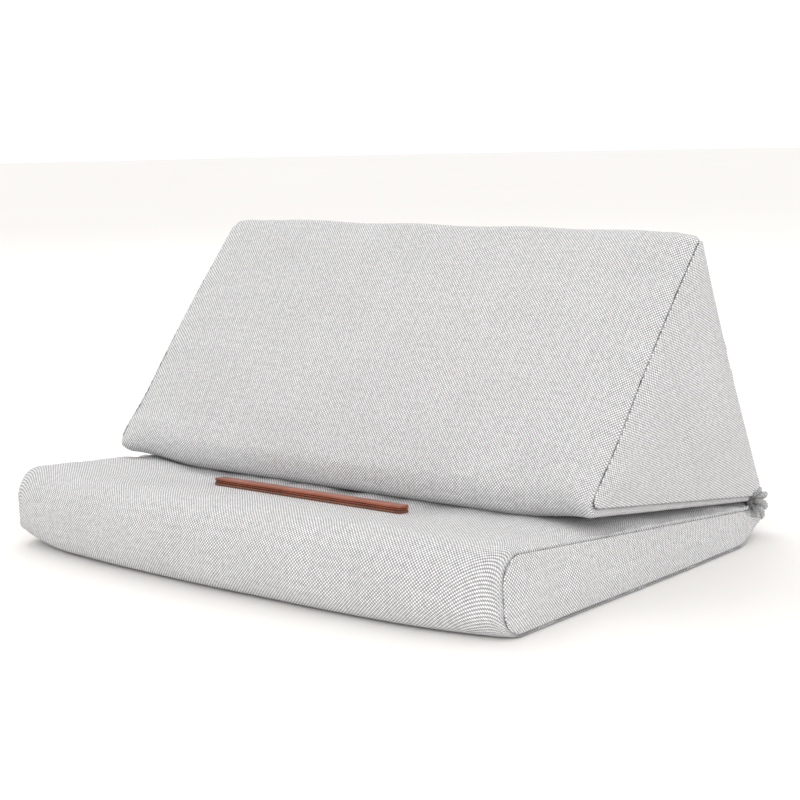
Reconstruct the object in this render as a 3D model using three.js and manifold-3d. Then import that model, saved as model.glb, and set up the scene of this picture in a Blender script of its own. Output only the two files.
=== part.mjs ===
// Cushion stand for a tablet: a flat foam base with a bowed, rounded front edge, a triangular foam
// wedge that lies on it and folds over the rear edge, and a low leather stop that holds the tablet's
// lower edge. Millimetres, +Z up, +Y to the rear, X across. The origin is on the table, at the middle
// of the stand's footprint.
import * as THREE from 'three';
import { mergeVertices } from 'three/addons/utils/BufferGeometryUtils.js';
import Module from 'manifold-3d';

const wasm = await Module();
wasm.setup();

const FOOTPRINT_SHIFT = -0.8; // puts the middle of the footprint at y = 0, zip slider included

// Covers
const HALF_WIDTH = 157.5; // middle of the stand to the seam of an end panel
const COVER = 1.2; // thickness of the lined twill
const GAP = 0.3; // room left between pieces that touch
const CROWN_POWER = 12; // how late the covers fall away towards their end seams
const ARC_STEPS = 6; // facets in a rounded corner
const LEAST_RADIUS = 0.6;
const OVERCUT = 1; // how far a cutting body runs past what it cuts
const STATIONS = [0, 50, 90, 120, 138, 149, 155, HALF_WIDTH];

// Base cushion, as a section at its end seam: [y, z, radius], anticlockwise seen from +X
const BASE_FRONT = -113.9;
const BASE_REAR = 127.2;
const TOP_SLOPE = -0.0955; // rise of the base's top per millimetre towards the rear
const TOP_AT_MIDDLE = 27.5; // height of the end seam's top above y = 0
const BASE_TOP_CROWN = 2.5; // how far the top swells above its end seams
const BASE_NOSE_CROWN = 5.6;
const BASE_REAR_CROWN = 0.8;
const FRONT_BOW = 12; // how far the middle of the front edge stands ahead of its ends
const BASE_SEAM_RADII = [16, 13, 2.5, 14]; // front bottom, rear bottom, rear top, front top
const BASE_MIDDLE_RADII = [13, 5, 3, 17];

// Wedge cushion
const WEDGE_LIFT = 0.4; // clearance between the base's top and the wedge's underside
const WEDGE_NOSE_Y = -47.9;
const WEDGE_REAR_Y = 129.5;
const WEDGE_APEX = [58.6, 164.8];
const WEDGE_CROWN = 3.2;
const WEDGE_NOSE_RADIUS = 12;
const WEDGE_REAR_RADIUS = 8;
const WEDGE_APEX_RADIUS = 5.5;

// Gathered hinge web between the two covers
const WEB_HALF_WIDTH = 150;
const WEB_CENTRE = [120.5, 23.8];
const WEB_RADII = [8.6, 7.2];
const WEB_PUCKER = 0.7; // depth of the gathers
const WEB_GATHERS = 9;
const WEB_STEPS = 36;
const WEB_SIDES = 16;
const WEB_MIDDLE_CALM = 0.4; // how much shallower the gathers are in the middle

// Leather stop, three layers of strap sewn to the base's top
const STOP_LENGTH = 125;
const STOP_DEPTH = 8.2;
const STOP_Y = -60.6;
const STOP_LAYERS = { bottom: 1.1, middle: 0.7, top: 1.2 };
const STOP_CORNER = 0.9;

// Coil zips that close the covers. In a zip's own frame X runs along it, Y points down the cover's face
// and Z points out of it.
const ZIP_LENGTH = 264; // length of the coil
const ZIP_SLOT_HEIGHT = 8.6;
const TAPE_THICKNESS = 0.8;
const TAPE_SINK = 0.4; // how far the tapes lie below the cover's face
const COIL_WIDTH = 4;
const COIL_HEIGHT = 1.4;
const STOP_CLIP_LENGTH = 3;
const STOP_CLIP_WIDTH = 5.4;
const STOP_CLIP_HEIGHT = 2;
const TAPE_END = 1; // tape past each end stop
const SLIDER_LENGTH = 9.5;
const SLIDER_WIDTH = 7;
const SLIDER_WALL = 1;
const SLIDER_ROOF = 0.9;
const SLIDER_CLEARANCE = 0.4;
const BRIDGE_LENGTH = 5.8;
const BRIDGE_WIDTH = 1.6;
const BRIDGE_WALL = 0.7;
const BRIDGE_TUNNEL = 1.8; // height of the passage under the bridge
const PULL_LENGTH = 22;
const PULL_THICKNESS = 1;
const PULL_ROOT_WIDTH = 4.8;
const PULL_TIP_WIDTH = 6;
const PULL_WINDOW = { start: 0.5, end: 4.2, width: 2.8 };
const SLIDER_REST_X = 127; // zips closed
const BASE_ZIP_Z = 9.5;
const WEDGE_ZIP_RISE = 46; // from the wedge's sharp rear corner, up its back face

// ---- outlines: a section is a list of sharp corners with a radius each ----

function baseTop(y) {
  return TOP_AT_MIDDLE + TOP_SLOPE * y;
}

function baseSeam() {
  return [
    [BASE_FRONT, 0, BASE_SEAM_RADII[0]],
    [BASE_REAR, 0, BASE_SEAM_RADII[1]],
    [BASE_REAR, baseTop(BASE_REAR), BASE_SEAM_RADII[2]],
    [BASE_FRONT, baseTop(BASE_FRONT), BASE_SEAM_RADII[3]],
  ];
}

function wedgeUnderside(y) {
  return baseTop(y) + BASE_TOP_CROWN + WEDGE_LIFT;
}

function wedgeSeam() {
  return [
    [WEDGE_NOSE_Y, wedgeUnderside(WEDGE_NOSE_Y), WEDGE_NOSE_RADIUS],
    [WEDGE_REAR_Y, wedgeUnderside(WEDGE_REAR_Y), WEDGE_REAR_RADIUS],
    [WEDGE_APEX[0], WEDGE_APEX[1], WEDGE_APEX_RADIUS],
  ];
}

// Moves side i, which runs from corner i to the next, outward by distances[i].
function moveSides(corners, distances) {
  const sides = corners.map(([y, z], i) => {
    const [nextY, nextZ] = corners[(i + 1) % corners.length];
    const along = new THREE.Vector2(nextY - y, nextZ - z).normalize();
    const outward = new THREE.Vector2(along.y, -along.x);
    return { along, point: new THREE.Vector2(y, z).addScaledVector(outward, distances[i]) };
  });
  return corners.map(([, , radius], i) => {
    const before = sides[(i + corners.length - 1) % corners.length];
    const after = sides[i];
    const apart = after.point.clone().sub(before.point);
    const reach = apart.cross(after.along) / before.along.cross(after.along);
    const corner = before.point.clone().addScaledVector(before.along, reach);
    return [corner.x, corner.y, radius];
  });
}

function grow(corners, distance) {
  const moved = moveSides(corners, corners.map(() => distance));
  return moved.map(([y, z, radius]) => [y, z, Math.max(radius + distance, LEAST_RADIUS)]);
}

function withRadii(corners, radii) {
  return corners.map(([y, z], i) => [y, z, radii[i]]);
}

function between(a, b, share) {
  return a.map((corner, i) => corner.map((value, k) => value + (b[i][k] - value) * share));
}

// The outline's points, with each corner rounded by an arc.
function roundOff(corners) {
  const points = [];
  corners.forEach(([y, z, radius], i) => {
    const corner = new THREE.Vector2(y, z);
    const [beforeY, beforeZ] = corners[(i + corners.length - 1) % corners.length];
    const [afterY, afterZ] = corners[(i + 1) % corners.length];
    const back = new THREE.Vector2(beforeY, beforeZ).sub(corner).normalize();
    const on = new THREE.Vector2(afterY, afterZ).sub(corner).normalize();
    const halfAngle = Math.acos(back.dot(on)) / 2;
    const middle = back.clone().add(on).normalize();
    const centre = corner.clone().addScaledVector(middle, radius / Math.sin(halfAngle));
    const start = corner.clone().addScaledVector(back, radius / Math.tan(halfAngle)).sub(centre);
    const turn = Math.PI - 2 * halfAngle;
    for (let k = 0; k <= ARC_STEPS; k += 1) {
      const spoke = start.clone().rotateAround(new THREE.Vector2(), (turn * k) / ARC_STEPS);
      points.push(spoke.add(centre));
    }
  });
  return points;
}

// How much of its crown a cover has at x: all of it in the middle, none at its end seams.
function crownAt(x) {
  return 1 - (Math.abs(x) / HALF_WIDTH) ** CROWN_POWER;
}

function bowAt(x) {
  return FRONT_BOW * (1 - (x / HALF_WIDTH) ** 2);
}

function baseMiddle() {
  const crowns = [0, BASE_REAR_CROWN, BASE_TOP_CROWN, BASE_NOSE_CROWN];
  return withRadii(moveSides(baseSeam(), crowns), BASE_MIDDLE_RADII);
}

function baseSection(x, growth) {
  const corners = between(baseSeam(), baseMiddle(), crownAt(x));
  const bowed = moveSides(corners, [0, 0, 0, bowAt(x)]);
  return roundOff(grow(bowed, growth));
}

function wedgeMiddle() {
  return moveSides(wedgeSeam(), [0, WEDGE_CROWN, WEDGE_CROWN]);
}

function wedgeSection(x, growth) {
  return roundOff(grow(between(wedgeSeam(), wedgeMiddle(), crownAt(x)), growth));
}

// ---- solids ----

function geometryFrom(positions, indices) {
  const geometry = new THREE.BufferGeometry();
  geometry.setAttribute('position', new THREE.Float32BufferAttribute(positions, 3));
  geometry.setIndex(indices);
  geometry.computeVertexNormals();
  return geometry;
}

function toSolid(source) {
  const bare = source.clone();
  bare.deleteAttribute('normal');
  bare.deleteAttribute('uv');
  const merged = mergeVertices(bare);
  const vertProperties = new Float32Array(merged.attributes.position.array);
  const triVerts = new Uint32Array(merged.index.array);
  return new wasm.Manifold(new wasm.Mesh({ numProp: 3, vertProperties, triVerts }));
}

function fromSolid(solid) {
  const { vertProperties, triVerts } = solid.getMesh();
  return geometryFrom(Array.from(vertProperties), Array.from(triVerts));
}

function boxAt(low, high) {
  const size = high.map((value, i) => value - low[i]);
  const centre = high.map((value, i) => (value + low[i]) / 2);
  return new THREE.BoxGeometry(...size).translate(...centre);
}

// Both sides of the middle plane, from -end to end, with the outermost station moved to end.
function stationsTo(end) {
  const half = STATIONS.slice(0, -1).concat(end);
  return half.slice(1).reverse().map((x) => -x).concat(half);
}

function pushRings(positions, stations, sectionAt) {
  const first = positions.length / 3;
  for (const x of stations) {
    for (const point of sectionAt(x)) {
      positions.push(x, point.x, point.y);
    }
  }
  return first;
}

function pushSkin(indices, first, count, stations, inward) {
  for (let i = 0; i < stations.length - 1; i += 1) {
    for (let j = 0; j < count; j += 1) {
      const a = first + i * count + j;
      const b = first + i * count + ((j + 1) % count);
      if (inward) {
        indices.push(a, b + count, b, a, a + count, b + count);
      } else {
        indices.push(a, b, b + count, a, b + count, a + count);
      }
    }
  }
}

// A closed body through the sections at the stations.
function loft(stations, sectionAt) {
  const positions = [];
  const indices = [];
  const section = sectionAt(stations[0]);
  const count = section.length;
  pushRings(positions, stations, sectionAt);
  pushSkin(indices, 0, count, stations, false);
  const farEnd = (stations.length - 1) * count;
  for (const [a, b, c] of THREE.ShapeUtils.triangulateShape(section, [])) {
    indices.push(a, c, b);
    indices.push(farEnd + a, farEnd + b, farEnd + c);
  }
  return geometryFrom(positions, indices);
}

// A closed band of cloth between an outer and an inner skin, open at both ends.
function band(stations, outerAt, innerAt) {
  const positions = [];
  const indices = [];
  const count = outerAt(0).length;
  const outer = pushRings(positions, stations, outerAt);
  const inner = pushRings(positions, stations, innerAt);
  pushSkin(indices, outer, count, stations, false);
  pushSkin(indices, inner, count, stations, true);
  const farEnd = (stations.length - 1) * count;
  for (let j = 0; j < count; j += 1) {
    const k = (j + 1) % count;
    indices.push(outer + j, inner + k, outer + k, outer + j, inner + j, inner + k);
    const o = outer + farEnd;
    const i = inner + farEnd;
    indices.push(o + j, o + k, i + k, o + j, i + k, i + j);
  }
  return geometryFrom(positions, indices);
}

function namedMesh(name, geometry, material) {
  const mesh = new THREE.Mesh(geometry, material.clone());
  mesh.name = name;
  return mesh;
}

function finish(color, roughness, metalness) {
  return new THREE.MeshStandardMaterial({ color, roughness, metalness });
}

const TWILL = finish(0xcfcfd0, 0.95, 0);
const FOAM = finish(0xe9e4cf, 0.9, 0);
const TAPE = finish(0xb9b9bb, 0.9, 0);
const NYLON = finish(0xa9a9ac, 0.5, 0);
const NICKEL = finish(0xb4b4b6, 0.35, 1);
const LEATHER_TOP = finish(0xa5603c, 0.6, 0);
const LEATHER_MIDDLE = finish(0x7a3a22, 0.65, 0);
const LEATHER_BOTTOM = finish(0x8f4c2c, 0.65, 0);

// ---- the cushions ----

// Where the middle of a zip lies on a cover's face, and how far that face leans back from level.
function baseZipPlace() {
  return { y: BASE_REAR + BASE_REAR_CROWN, z: BASE_ZIP_Z, lean: Math.PI / 2 };
}

function wedgeZipPlace() {
  const [, rear, apex] = wedgeMiddle();
  const up = new THREE.Vector2(apex[0] - rear[0], apex[1] - rear[1]).normalize();
  return {
    y: rear[0] + up.x * WEDGE_ZIP_RISE,
    z: rear[1] + up.y * WEDGE_ZIP_RISE,
    lean: Math.atan2(up.y, -up.x),
  };
}

function zipSlot(place) {
  const halfLength = zipTapeHalf() + GAP;
  const halfHeight = ZIP_SLOT_HEIGHT / 2;
  const depth = 3 * COVER;
  const slot = boxAt([-halfLength, -halfHeight, -depth], [halfLength, halfHeight, depth]);
  return slot.rotateX(-place.lean).translate(0, place.y, place.z);
}

function cover(sectionAt, place) {
  const skin = band(
    stationsTo(HALF_WIDTH),
    (x) => sectionAt(x, 0),
    (x) => sectionAt(x, -COVER),
  );
  return fromSolid(toSolid(skin).subtract(toSolid(zipSlot(place))));
}

function core(sectionAt) {
  const end = HALF_WIDTH - GAP;
  return loft(stationsTo(end), (x) => sectionAt(x, -COVER - GAP));
}

function endPanel(sectionAt, side) {
  const near = side * (HALF_WIDTH + GAP);
  const far = near + side * COVER;
  const stations = [Math.min(near, far), Math.max(near, far)];
  return loft(stations, () => sectionAt(HALF_WIDTH, 0));
}

function cushion(prefix, sectionAt, place) {
  const group = new THREE.Group();
  group.add(namedMesh(`${prefix}_foam`, core(sectionAt), FOAM));
  group.add(namedMesh(`${prefix}_wrap`, cover(sectionAt, place), TWILL));
  group.add(namedMesh(`${prefix}_left_end_panel`, endPanel(sectionAt, -1), TWILL));
  group.add(namedMesh(`${prefix}_right_end_panel`, endPanel(sectionAt, 1), TWILL));
  return group;
}

// ---- the hinge web ----

function webSection(x) {
  const fade = 1 - (x / WEB_HALF_WIDTH) ** 2;
  const wave = Math.cos((Math.PI * WEB_GATHERS * x) / WEB_HALF_WIDTH);
  const swell = WEB_PUCKER * wave * (1 - WEB_MIDDLE_CALM * fade);
  const points = [];
  for (let k = 0; k < WEB_SIDES; k += 1) {
    const angle = (2 * Math.PI * k) / WEB_SIDES;
    const y = WEB_CENTRE[0] + (WEB_RADII[0] + swell) * Math.cos(angle);
    const z = WEB_CENTRE[1] + (WEB_RADII[1] + swell) * Math.sin(angle);
    points.push(new THREE.Vector2(y, z));
  }
  return points;
}

// A gathered roll of cloth, cut back to the room between the wedge's rear corner and the base.
function hingeWeb() {
  const stations = [];
  for (let i = 0; i <= WEB_STEPS; i += 1) {
    stations.push(WEB_HALF_WIDTH * ((2 * i) / WEB_STEPS - 1));
  }
  const clear = [-HALF_WIDTH, HALF_WIDTH];
  const wedge = loft(clear, () => wedgeSection(0, GAP));
  const base = loft(clear, () => baseSection(0, GAP));
  const roll = toSolid(loft(stations, webSection));
  return fromSolid(roll.subtract(toSolid(wedge)).subtract(toSolid(base)));
}

// ---- the leather stop ----

function strap(thickness) {
  const x = STOP_LENGTH / 2;
  const y = STOP_DEPTH / 2;
  const shape = new THREE.Shape();
  shape.moveTo(-x + STOP_CORNER, -y);
  shape.lineTo(x - STOP_CORNER, -y);
  shape.lineTo(x, -y + STOP_CORNER);
  shape.lineTo(x, y - STOP_CORNER);
  shape.lineTo(x - STOP_CORNER, y);
  shape.lineTo(-x + STOP_CORNER, y);
  shape.lineTo(-x, y - STOP_CORNER);
  shape.lineTo(-x, -y + STOP_CORNER);
  shape.closePath();
  return new THREE.ExtrudeGeometry(shape, { depth: thickness, bevelEnabled: false });
}

function leatherStop() {
  const stop = new THREE.Group();
  const layers = [
    ['stop_bottom_leather', STOP_LAYERS.bottom, LEATHER_BOTTOM],
    ['stop_middle_leather', STOP_LAYERS.middle, LEATHER_MIDDLE],
    ['stop_top_leather', STOP_LAYERS.top, LEATHER_TOP],
  ];
  let height = GAP;
  for (const [name, thickness, material] of layers) {
    const layer = namedMesh(name, strap(thickness), material);
    layer.position.z = height;
    stop.add(layer);
    height += thickness + GAP;
  }
  stop.position.set(0, STOP_Y, baseTop(STOP_Y) + BASE_TOP_CROWN);
  stop.rotation.x = Math.atan(TOP_SLOPE);
  return stop;
}

// ---- the zips ----

function zipTapeHalf() {
  return ZIP_LENGTH / 2 + STOP_CLIP_LENGTH + 2 * GAP + TAPE_END;
}

function zipTape(side) {
  const inner = side * (GAP / 2);
  const outer = side * (ZIP_SLOT_HEIGHT / 2 - GAP);
  const half = zipTapeHalf();
  const low = [-half, Math.min(inner, outer), -TAPE_SINK - TAPE_THICKNESS];
  const high = [half, Math.max(inner, outer), -TAPE_SINK];
  return boxAt(low, high);
}

function zipCoil() {
  const foot = GAP - TAPE_SINK;
  const x = ZIP_LENGTH / 2;
  const y = COIL_WIDTH / 2;
  return boxAt([-x, -y, foot], [x, y, foot + COIL_HEIGHT]);
}

function zipEndStop(side) {
  const foot = GAP - TAPE_SINK;
  const near = side * (ZIP_LENGTH / 2 + GAP);
  const far = near + side * STOP_CLIP_LENGTH;
  const y = STOP_CLIP_WIDTH / 2;
  const low = [Math.min(near, far), -y, foot];
  const high = [Math.max(near, far), y, foot + STOP_CLIP_HEIGHT];
  return boxAt(low, high);
}

function sliderRoofUnderside() {
  return GAP - TAPE_SINK + COIL_HEIGHT + SLIDER_CLEARANCE;
}

function sliderTop() {
  return sliderRoofUnderside() + SLIDER_ROOF;
}

function pullPivotHeight() {
  return sliderTop() + BRIDGE_TUNNEL / 2;
}

// A roof and two side walls over the coil, and a bridge on the roof that the pull hangs from.
function zipSlider() {
  const x = SLIDER_LENGTH / 2;
  const y = SLIDER_WIDTH / 2;
  const inner = y - SLIDER_WALL;
  const foot = SLIDER_CLEARANCE - TAPE_SINK;
  const body = toSolid(boxAt([-x, -y, foot], [x, y, sliderTop()]));
  const channel = boxAt([-x - OVERCUT, -inner, foot - OVERCUT], [x + OVERCUT, inner, sliderRoofUnderside()]);
  const bx = BRIDGE_LENGTH / 2;
  const by = BRIDGE_WIDTH / 2;
  const top = sliderTop() + BRIDGE_TUNNEL;
  const sunk = sliderTop() - SLIDER_ROOF / 2;
  const bridge = toSolid(boxAt([-bx, -by, sunk], [bx, by, top + BRIDGE_WALL]));
  const tunnel = bx - BRIDGE_WALL;
  const passage = boxAt([-tunnel, -by - OVERCUT, sliderTop()], [tunnel, by + OVERCUT, top]);
  const solid = body.add(bridge).subtract(toSolid(channel)).subtract(toSolid(passage));
  return fromSolid(solid);
}

// A flat tag whose root bar passes under the slider's bridge. It points towards -X.
function zipPull() {
  const root = PULL_ROOT_WIDTH / 2;
  const tip = PULL_TIP_WIDTH / 2;
  const shape = new THREE.Shape();
  shape.moveTo(-PULL_WINDOW.start, -root);
  shape.lineTo(PULL_WINDOW.end, -root);
  shape.lineTo(PULL_LENGTH - tip, -tip);
  shape.absarc(PULL_LENGTH - tip, 0, tip, -Math.PI / 2, Math.PI / 2, false);
  shape.lineTo(PULL_WINDOW.end, root);
  shape.lineTo(-PULL_WINDOW.start, root);
  shape.closePath();
  const half = PULL_WINDOW.width / 2;
  const window = new THREE.Path();
  window.moveTo(PULL_WINDOW.start, -half);
  window.lineTo(PULL_WINDOW.start, half);
  window.lineTo(PULL_WINDOW.end, half);
  window.lineTo(PULL_WINDOW.end, -half);
  window.closePath();
  shape.holes.push(window);
  const tag = new THREE.ExtrudeGeometry(shape, { depth: PULL_THICKNESS, bevelEnabled: false });
  return tag.translate(0, 0, pullPivotHeight() - PULL_THICKNESS / 2).rotateZ(Math.PI);
}

function zip(prefix, place) {
  const group = new THREE.Group();
  group.add(namedMesh(`${prefix}_upper_tape`, zipTape(-1), TAPE));
  group.add(namedMesh(`${prefix}_lower_tape`, zipTape(1), TAPE));
  group.add(namedMesh(`${prefix}_coil`, zipCoil(), NYLON));
  group.add(namedMesh(`${prefix}_left_end_stop`, zipEndStop(-1), NICKEL));
  group.add(namedMesh(`${prefix}_right_end_stop`, zipEndStop(1), NICKEL));
  const runner = new THREE.Group();
  runner.add(namedMesh(`${prefix}_slider`, zipSlider(), NICKEL));
  runner.add(namedMesh(`${prefix}_pull`, zipPull(), NICKEL));
  runner.position.x = SLIDER_REST_X;
  group.add(runner);
  group.position.set(0, place.y, place.z);
  group.rotation.x = -place.lean;
  return group;
}

// ---- the stand ----

const base = new THREE.Group();
base.add(cushion('base', baseSection, baseZipPlace()));
base.add(zip('base_zip', baseZipPlace()));
base.add(leatherStop());
base.add(namedMesh('hinge_web', hingeWeb(), TWILL));

const wedge = new THREE.Group();
wedge.add(cushion('wedge', wedgeSection, wedgeZipPlace()));
wedge.add(zip('wedge_zip', wedgeZipPlace()));

const stand = new THREE.Group();
stand.add(base);
stand.add(wedge);
stand.position.y = FOOTPRINT_SHIFT;

export default stand;
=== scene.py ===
import math

import bmesh
import bpy
import numpy as np
from mathutils import Matrix, Vector
from mathutils.geometry import delaunay_2d_cdt


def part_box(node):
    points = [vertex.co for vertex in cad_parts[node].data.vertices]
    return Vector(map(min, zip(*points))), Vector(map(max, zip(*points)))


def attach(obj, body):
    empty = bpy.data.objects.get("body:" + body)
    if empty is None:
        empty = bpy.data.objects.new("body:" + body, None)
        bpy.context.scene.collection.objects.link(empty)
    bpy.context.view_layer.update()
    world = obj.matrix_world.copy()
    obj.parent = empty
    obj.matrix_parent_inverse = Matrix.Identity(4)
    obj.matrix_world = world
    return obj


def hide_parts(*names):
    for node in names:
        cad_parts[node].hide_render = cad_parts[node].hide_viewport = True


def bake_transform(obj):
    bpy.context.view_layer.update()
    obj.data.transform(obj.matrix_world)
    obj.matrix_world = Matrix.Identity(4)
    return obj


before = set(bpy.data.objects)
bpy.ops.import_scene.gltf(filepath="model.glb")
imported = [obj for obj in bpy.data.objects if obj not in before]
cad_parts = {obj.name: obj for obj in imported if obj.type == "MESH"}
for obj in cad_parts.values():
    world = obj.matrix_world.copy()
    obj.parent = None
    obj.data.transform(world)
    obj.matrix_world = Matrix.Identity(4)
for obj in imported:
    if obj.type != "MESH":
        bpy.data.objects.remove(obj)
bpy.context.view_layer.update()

# Looks of the cushion tablet stand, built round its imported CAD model. Lengths are in millimetres until a
# mesh is made. +Z is up, +Y is the rear, X runs across. A section is a list of sharp corners with a radius
# each, anticlockwise seen from +X, as in the CAD model.
MM = 0.001
RNG = np.random.default_rng(20)


def box_mm(node):
    low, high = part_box(node)
    return np.array(low) / MM, np.array(high) / MM


# ---- driving sizes ----
GAP = 0.3
PANEL_LOW, PANEL_HIGH = box_mm("base_right_end_panel")
HALF_WIDTH = PANEL_LOW[0] - GAP  # middle of the stand to the seam of an end panel
CLOTH = 0.8
CROWN_POWER = 12  # how near the end seams a crown keeps its height
FRONT_BOW = 12.0  # how far the middle of the base's front stands past its ends

BASE_FRONT, BASE_REAR = PANEL_LOW[1], PANEL_HIGH[1]
TOP_SLOPE = -0.0955
TOP_AT_ORIGIN = 27.424
BASE_CROWNS = (0.0, 0.8, 2.5, 5.6)  # under, rear, top, front: swell of the middle past the end panels
BASE_SEAM_INSETS = (0.9, 0.0, 0.8, 0.0)  # how far each side of an end seam is drawn in
BASE_ROLL_WIDTH = 2.4  # how near an end seam the base's cloth begins to roll in to it
BASE_SEAM_RADII = (13.0, 2.5, 5.0, 13.0)
BASE_MIDDLE_RADII = (13.0, 5.0, 3.0, 17.0)
REAR_CUTS = (4.0, 23.0)  # how far forward the gathered hinge pulls an end seam's two rear corners
REAR_CUT_POWER = 26  # how near the ends that happens

WEDGE_NOSE, WEDGE_REAR = -48.7, 128.7
WEDGE_APEX = (57.8, 164.8)
WEDGE_LIFT = 2.9  # wedge's underside above the base's end seam
WEDGE_CROWNS = (0.0, 3.2, 3.2)  # under, back, front
WEDGE_SEAM_INSETS = (3.4, 1.6, 0.0)
WEDGE_SEAM_RADII = (4.5, 6.0, 2.4)
WEDGE_MIDDLE_RADII = (12.0, 8.0, 5.5)
WEDGE_SEAM_BOWS = (0.0, -2.0, 2.6)  # how far each side of an end seam bows out
WEDGE_ROLL_WIDTH = 5.0

BASE_ZIP_RISE = 9.5  # a zip's middle, along its face from the sharp corner below it
WEDGE_ZIP_RISE = 46.0
ZIP_SLOT_HALF = 4.3
ZIP_SLOT_END = box_mm("base_zip_upper_tape")[1][0] + GAP

# The wrap's edge and the end panel's edge roll in to their seam: (distance along X from the seam's plane,
# depth below the surface), from the flat of the cloth to the seam.
WRAP_ROLL = ((1.9, 0.0), (1.25, 0.05), (0.8, 0.17), (0.42, 0.38), (0.2, 0.68), (0.1, 1.05), (0.1, 1.5))
PANEL_ROLL = ((-0.06, 1.5), (0.02, 1.12), (0.2, 0.86), (0.5, 0.76), (0.82, 0.9), (1.05, 1.3), (1.2, 2.0),
              (1.3, 3.2))

THREAD_PITCH = (0.833, 0.862)  # between threads, along X and along the profile
WEDGE_GRAIN = math.radians(23.4)  # turn of the weave on the wedge's end panels


# ---- small tools ----
def ramp(value, start, width):
    """0 up to the start, 1 from a width past it, and smooth between."""
    t = np.clip((value - start) / width, 0, 1)
    return t * t * (3 - 2 * t)


def bell(value, width):
    return np.exp(-((value / width) ** 2))


def between(ends, share):
    return ends[0] + (ends[1] - ends[0]) * share


def cross(a, b):
    return a[..., 0] * b[..., 1] - a[..., 1] * b[..., 0]


def unit(v):
    return v / np.linalg.norm(v, axis=-1, keepdims=True)


def turned(points, angle):
    """Flat points turned anticlockwise about the origin."""
    a, b = np.moveaxis(points, -1, 0)
    c, s = np.cos(angle), np.sin(angle)
    return np.stack([a * c - b * s, a * s + b * c], -1)


def at_x(x, flat):
    """Points in space from points of a section."""
    return np.column_stack([np.full(len(flat), x), flat])


def run_lengths(line):
    """How far along a line of points each of them is."""
    return np.concatenate([[0], np.cumsum(np.linalg.norm(np.diff(line, axis=0), axis=1))])


def along_line(line, lengths, distances):
    return np.column_stack([np.interp(distances, lengths, column) for column in line.T])


# ---- outlines ----
def moved(corners, distances):
    """The outline with side i, from corner i to the next, moved outward by distances[i]."""
    points = corners[:, :2]
    along = unit(np.roll(points, -1, axis=0) - points)
    outward = np.stack([along[:, 1], -along[:, 0]], axis=1)
    starts = points + outward * np.asarray(distances, float)[:, None]
    before = np.roll(starts, 1, axis=0)
    before_along = np.roll(along, 1, axis=0)
    reach = cross(starts - before, along) / cross(before_along, along)
    result = corners.copy()
    result[:, :2] = before + before_along * reach[:, None]
    return result


def grown(corners, distance):
    result = moved(corners, [distance] * len(corners))
    result[:, 2] = np.maximum(corners[:, 2] + distance, 0.5)
    return result


def with_radii(corners, radii):
    return np.column_stack([corners[:, :2], radii])


def end_share(x):
    """0 in the middle of the stand, 1 at an end seam."""
    return min(1.0, abs(x) / HALF_WIDTH)


def crown_at(x):
    return 1 - end_share(x) ** CROWN_POWER


def roll_at(x, width):
    """0 until the cloth begins to roll in to an end seam, and 1 at the seam."""
    seam = HALF_WIDTH - WRAP_ROLL[-1][0]
    t = np.clip(1 - (seam - np.abs(x)) / width, 0, 1)
    return 1 - np.sqrt(1 - t * t)


def base_top(y):
    return TOP_AT_ORIGIN + TOP_SLOPE * y


def crowned(x, flat, crowns, seam_radii, middle_radii):
    """Sharp corners at x of a section that is flat at the end seams and swells by crowns in the middle."""
    seam = with_radii(flat, seam_radii)
    middle = with_radii(moved(flat, crowns), middle_radii)
    return seam + (middle - seam) * crown_at(x)


def base_corners(x):
    """The base's section at x: a row for each sharp corner, its radius, and the bow of the side after it."""
    front_top, rear_top = ((y, base_top(y)) for y in (BASE_FRONT, BASE_REAR))
    flat = np.array([(BASE_FRONT, 0), (BASE_REAR, 0), rear_top, front_top], float)
    corners = crowned(x, flat, BASE_CROWNS, BASE_SEAM_RADII, BASE_MIDDLE_RADII)
    corners = moved(corners, -np.array(BASE_SEAM_INSETS) * roll_at(x, BASE_ROLL_WIDTH))
    near_seam = end_share(x) ** REAR_CUT_POWER
    corners[1, 0] -= REAR_CUTS[0] * near_seam
    corners[2] -= REAR_CUTS[1] * near_seam * np.array([1, TOP_SLOPE, 0])
    corners = moved(corners, (0, 0, 0, FRONT_BOW * (1 - end_share(x) ** 2)))
    return np.column_stack([corners, np.zeros(len(corners))])


def wedge_corners(x):
    """The wedge's section at x, in rows like the base's."""
    under = [(y, base_top(y) + WEDGE_LIFT) for y in (WEDGE_NOSE, WEDGE_REAR)]
    flat = np.array(under + [WEDGE_APEX], float)
    corners = crowned(x, flat, WEDGE_CROWNS, WEDGE_SEAM_RADII, WEDGE_MIDDLE_RADII)
    corners = moved(corners, -np.array(WEDGE_SEAM_INSETS) * roll_at(x, WEDGE_ROLL_WIDTH))
    return np.column_stack([corners, np.array(WEDGE_SEAM_BOWS) * (1 - crown_at(x))])


SHORTEST_STEP = 0.3  # between points beside a zip slot


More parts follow.
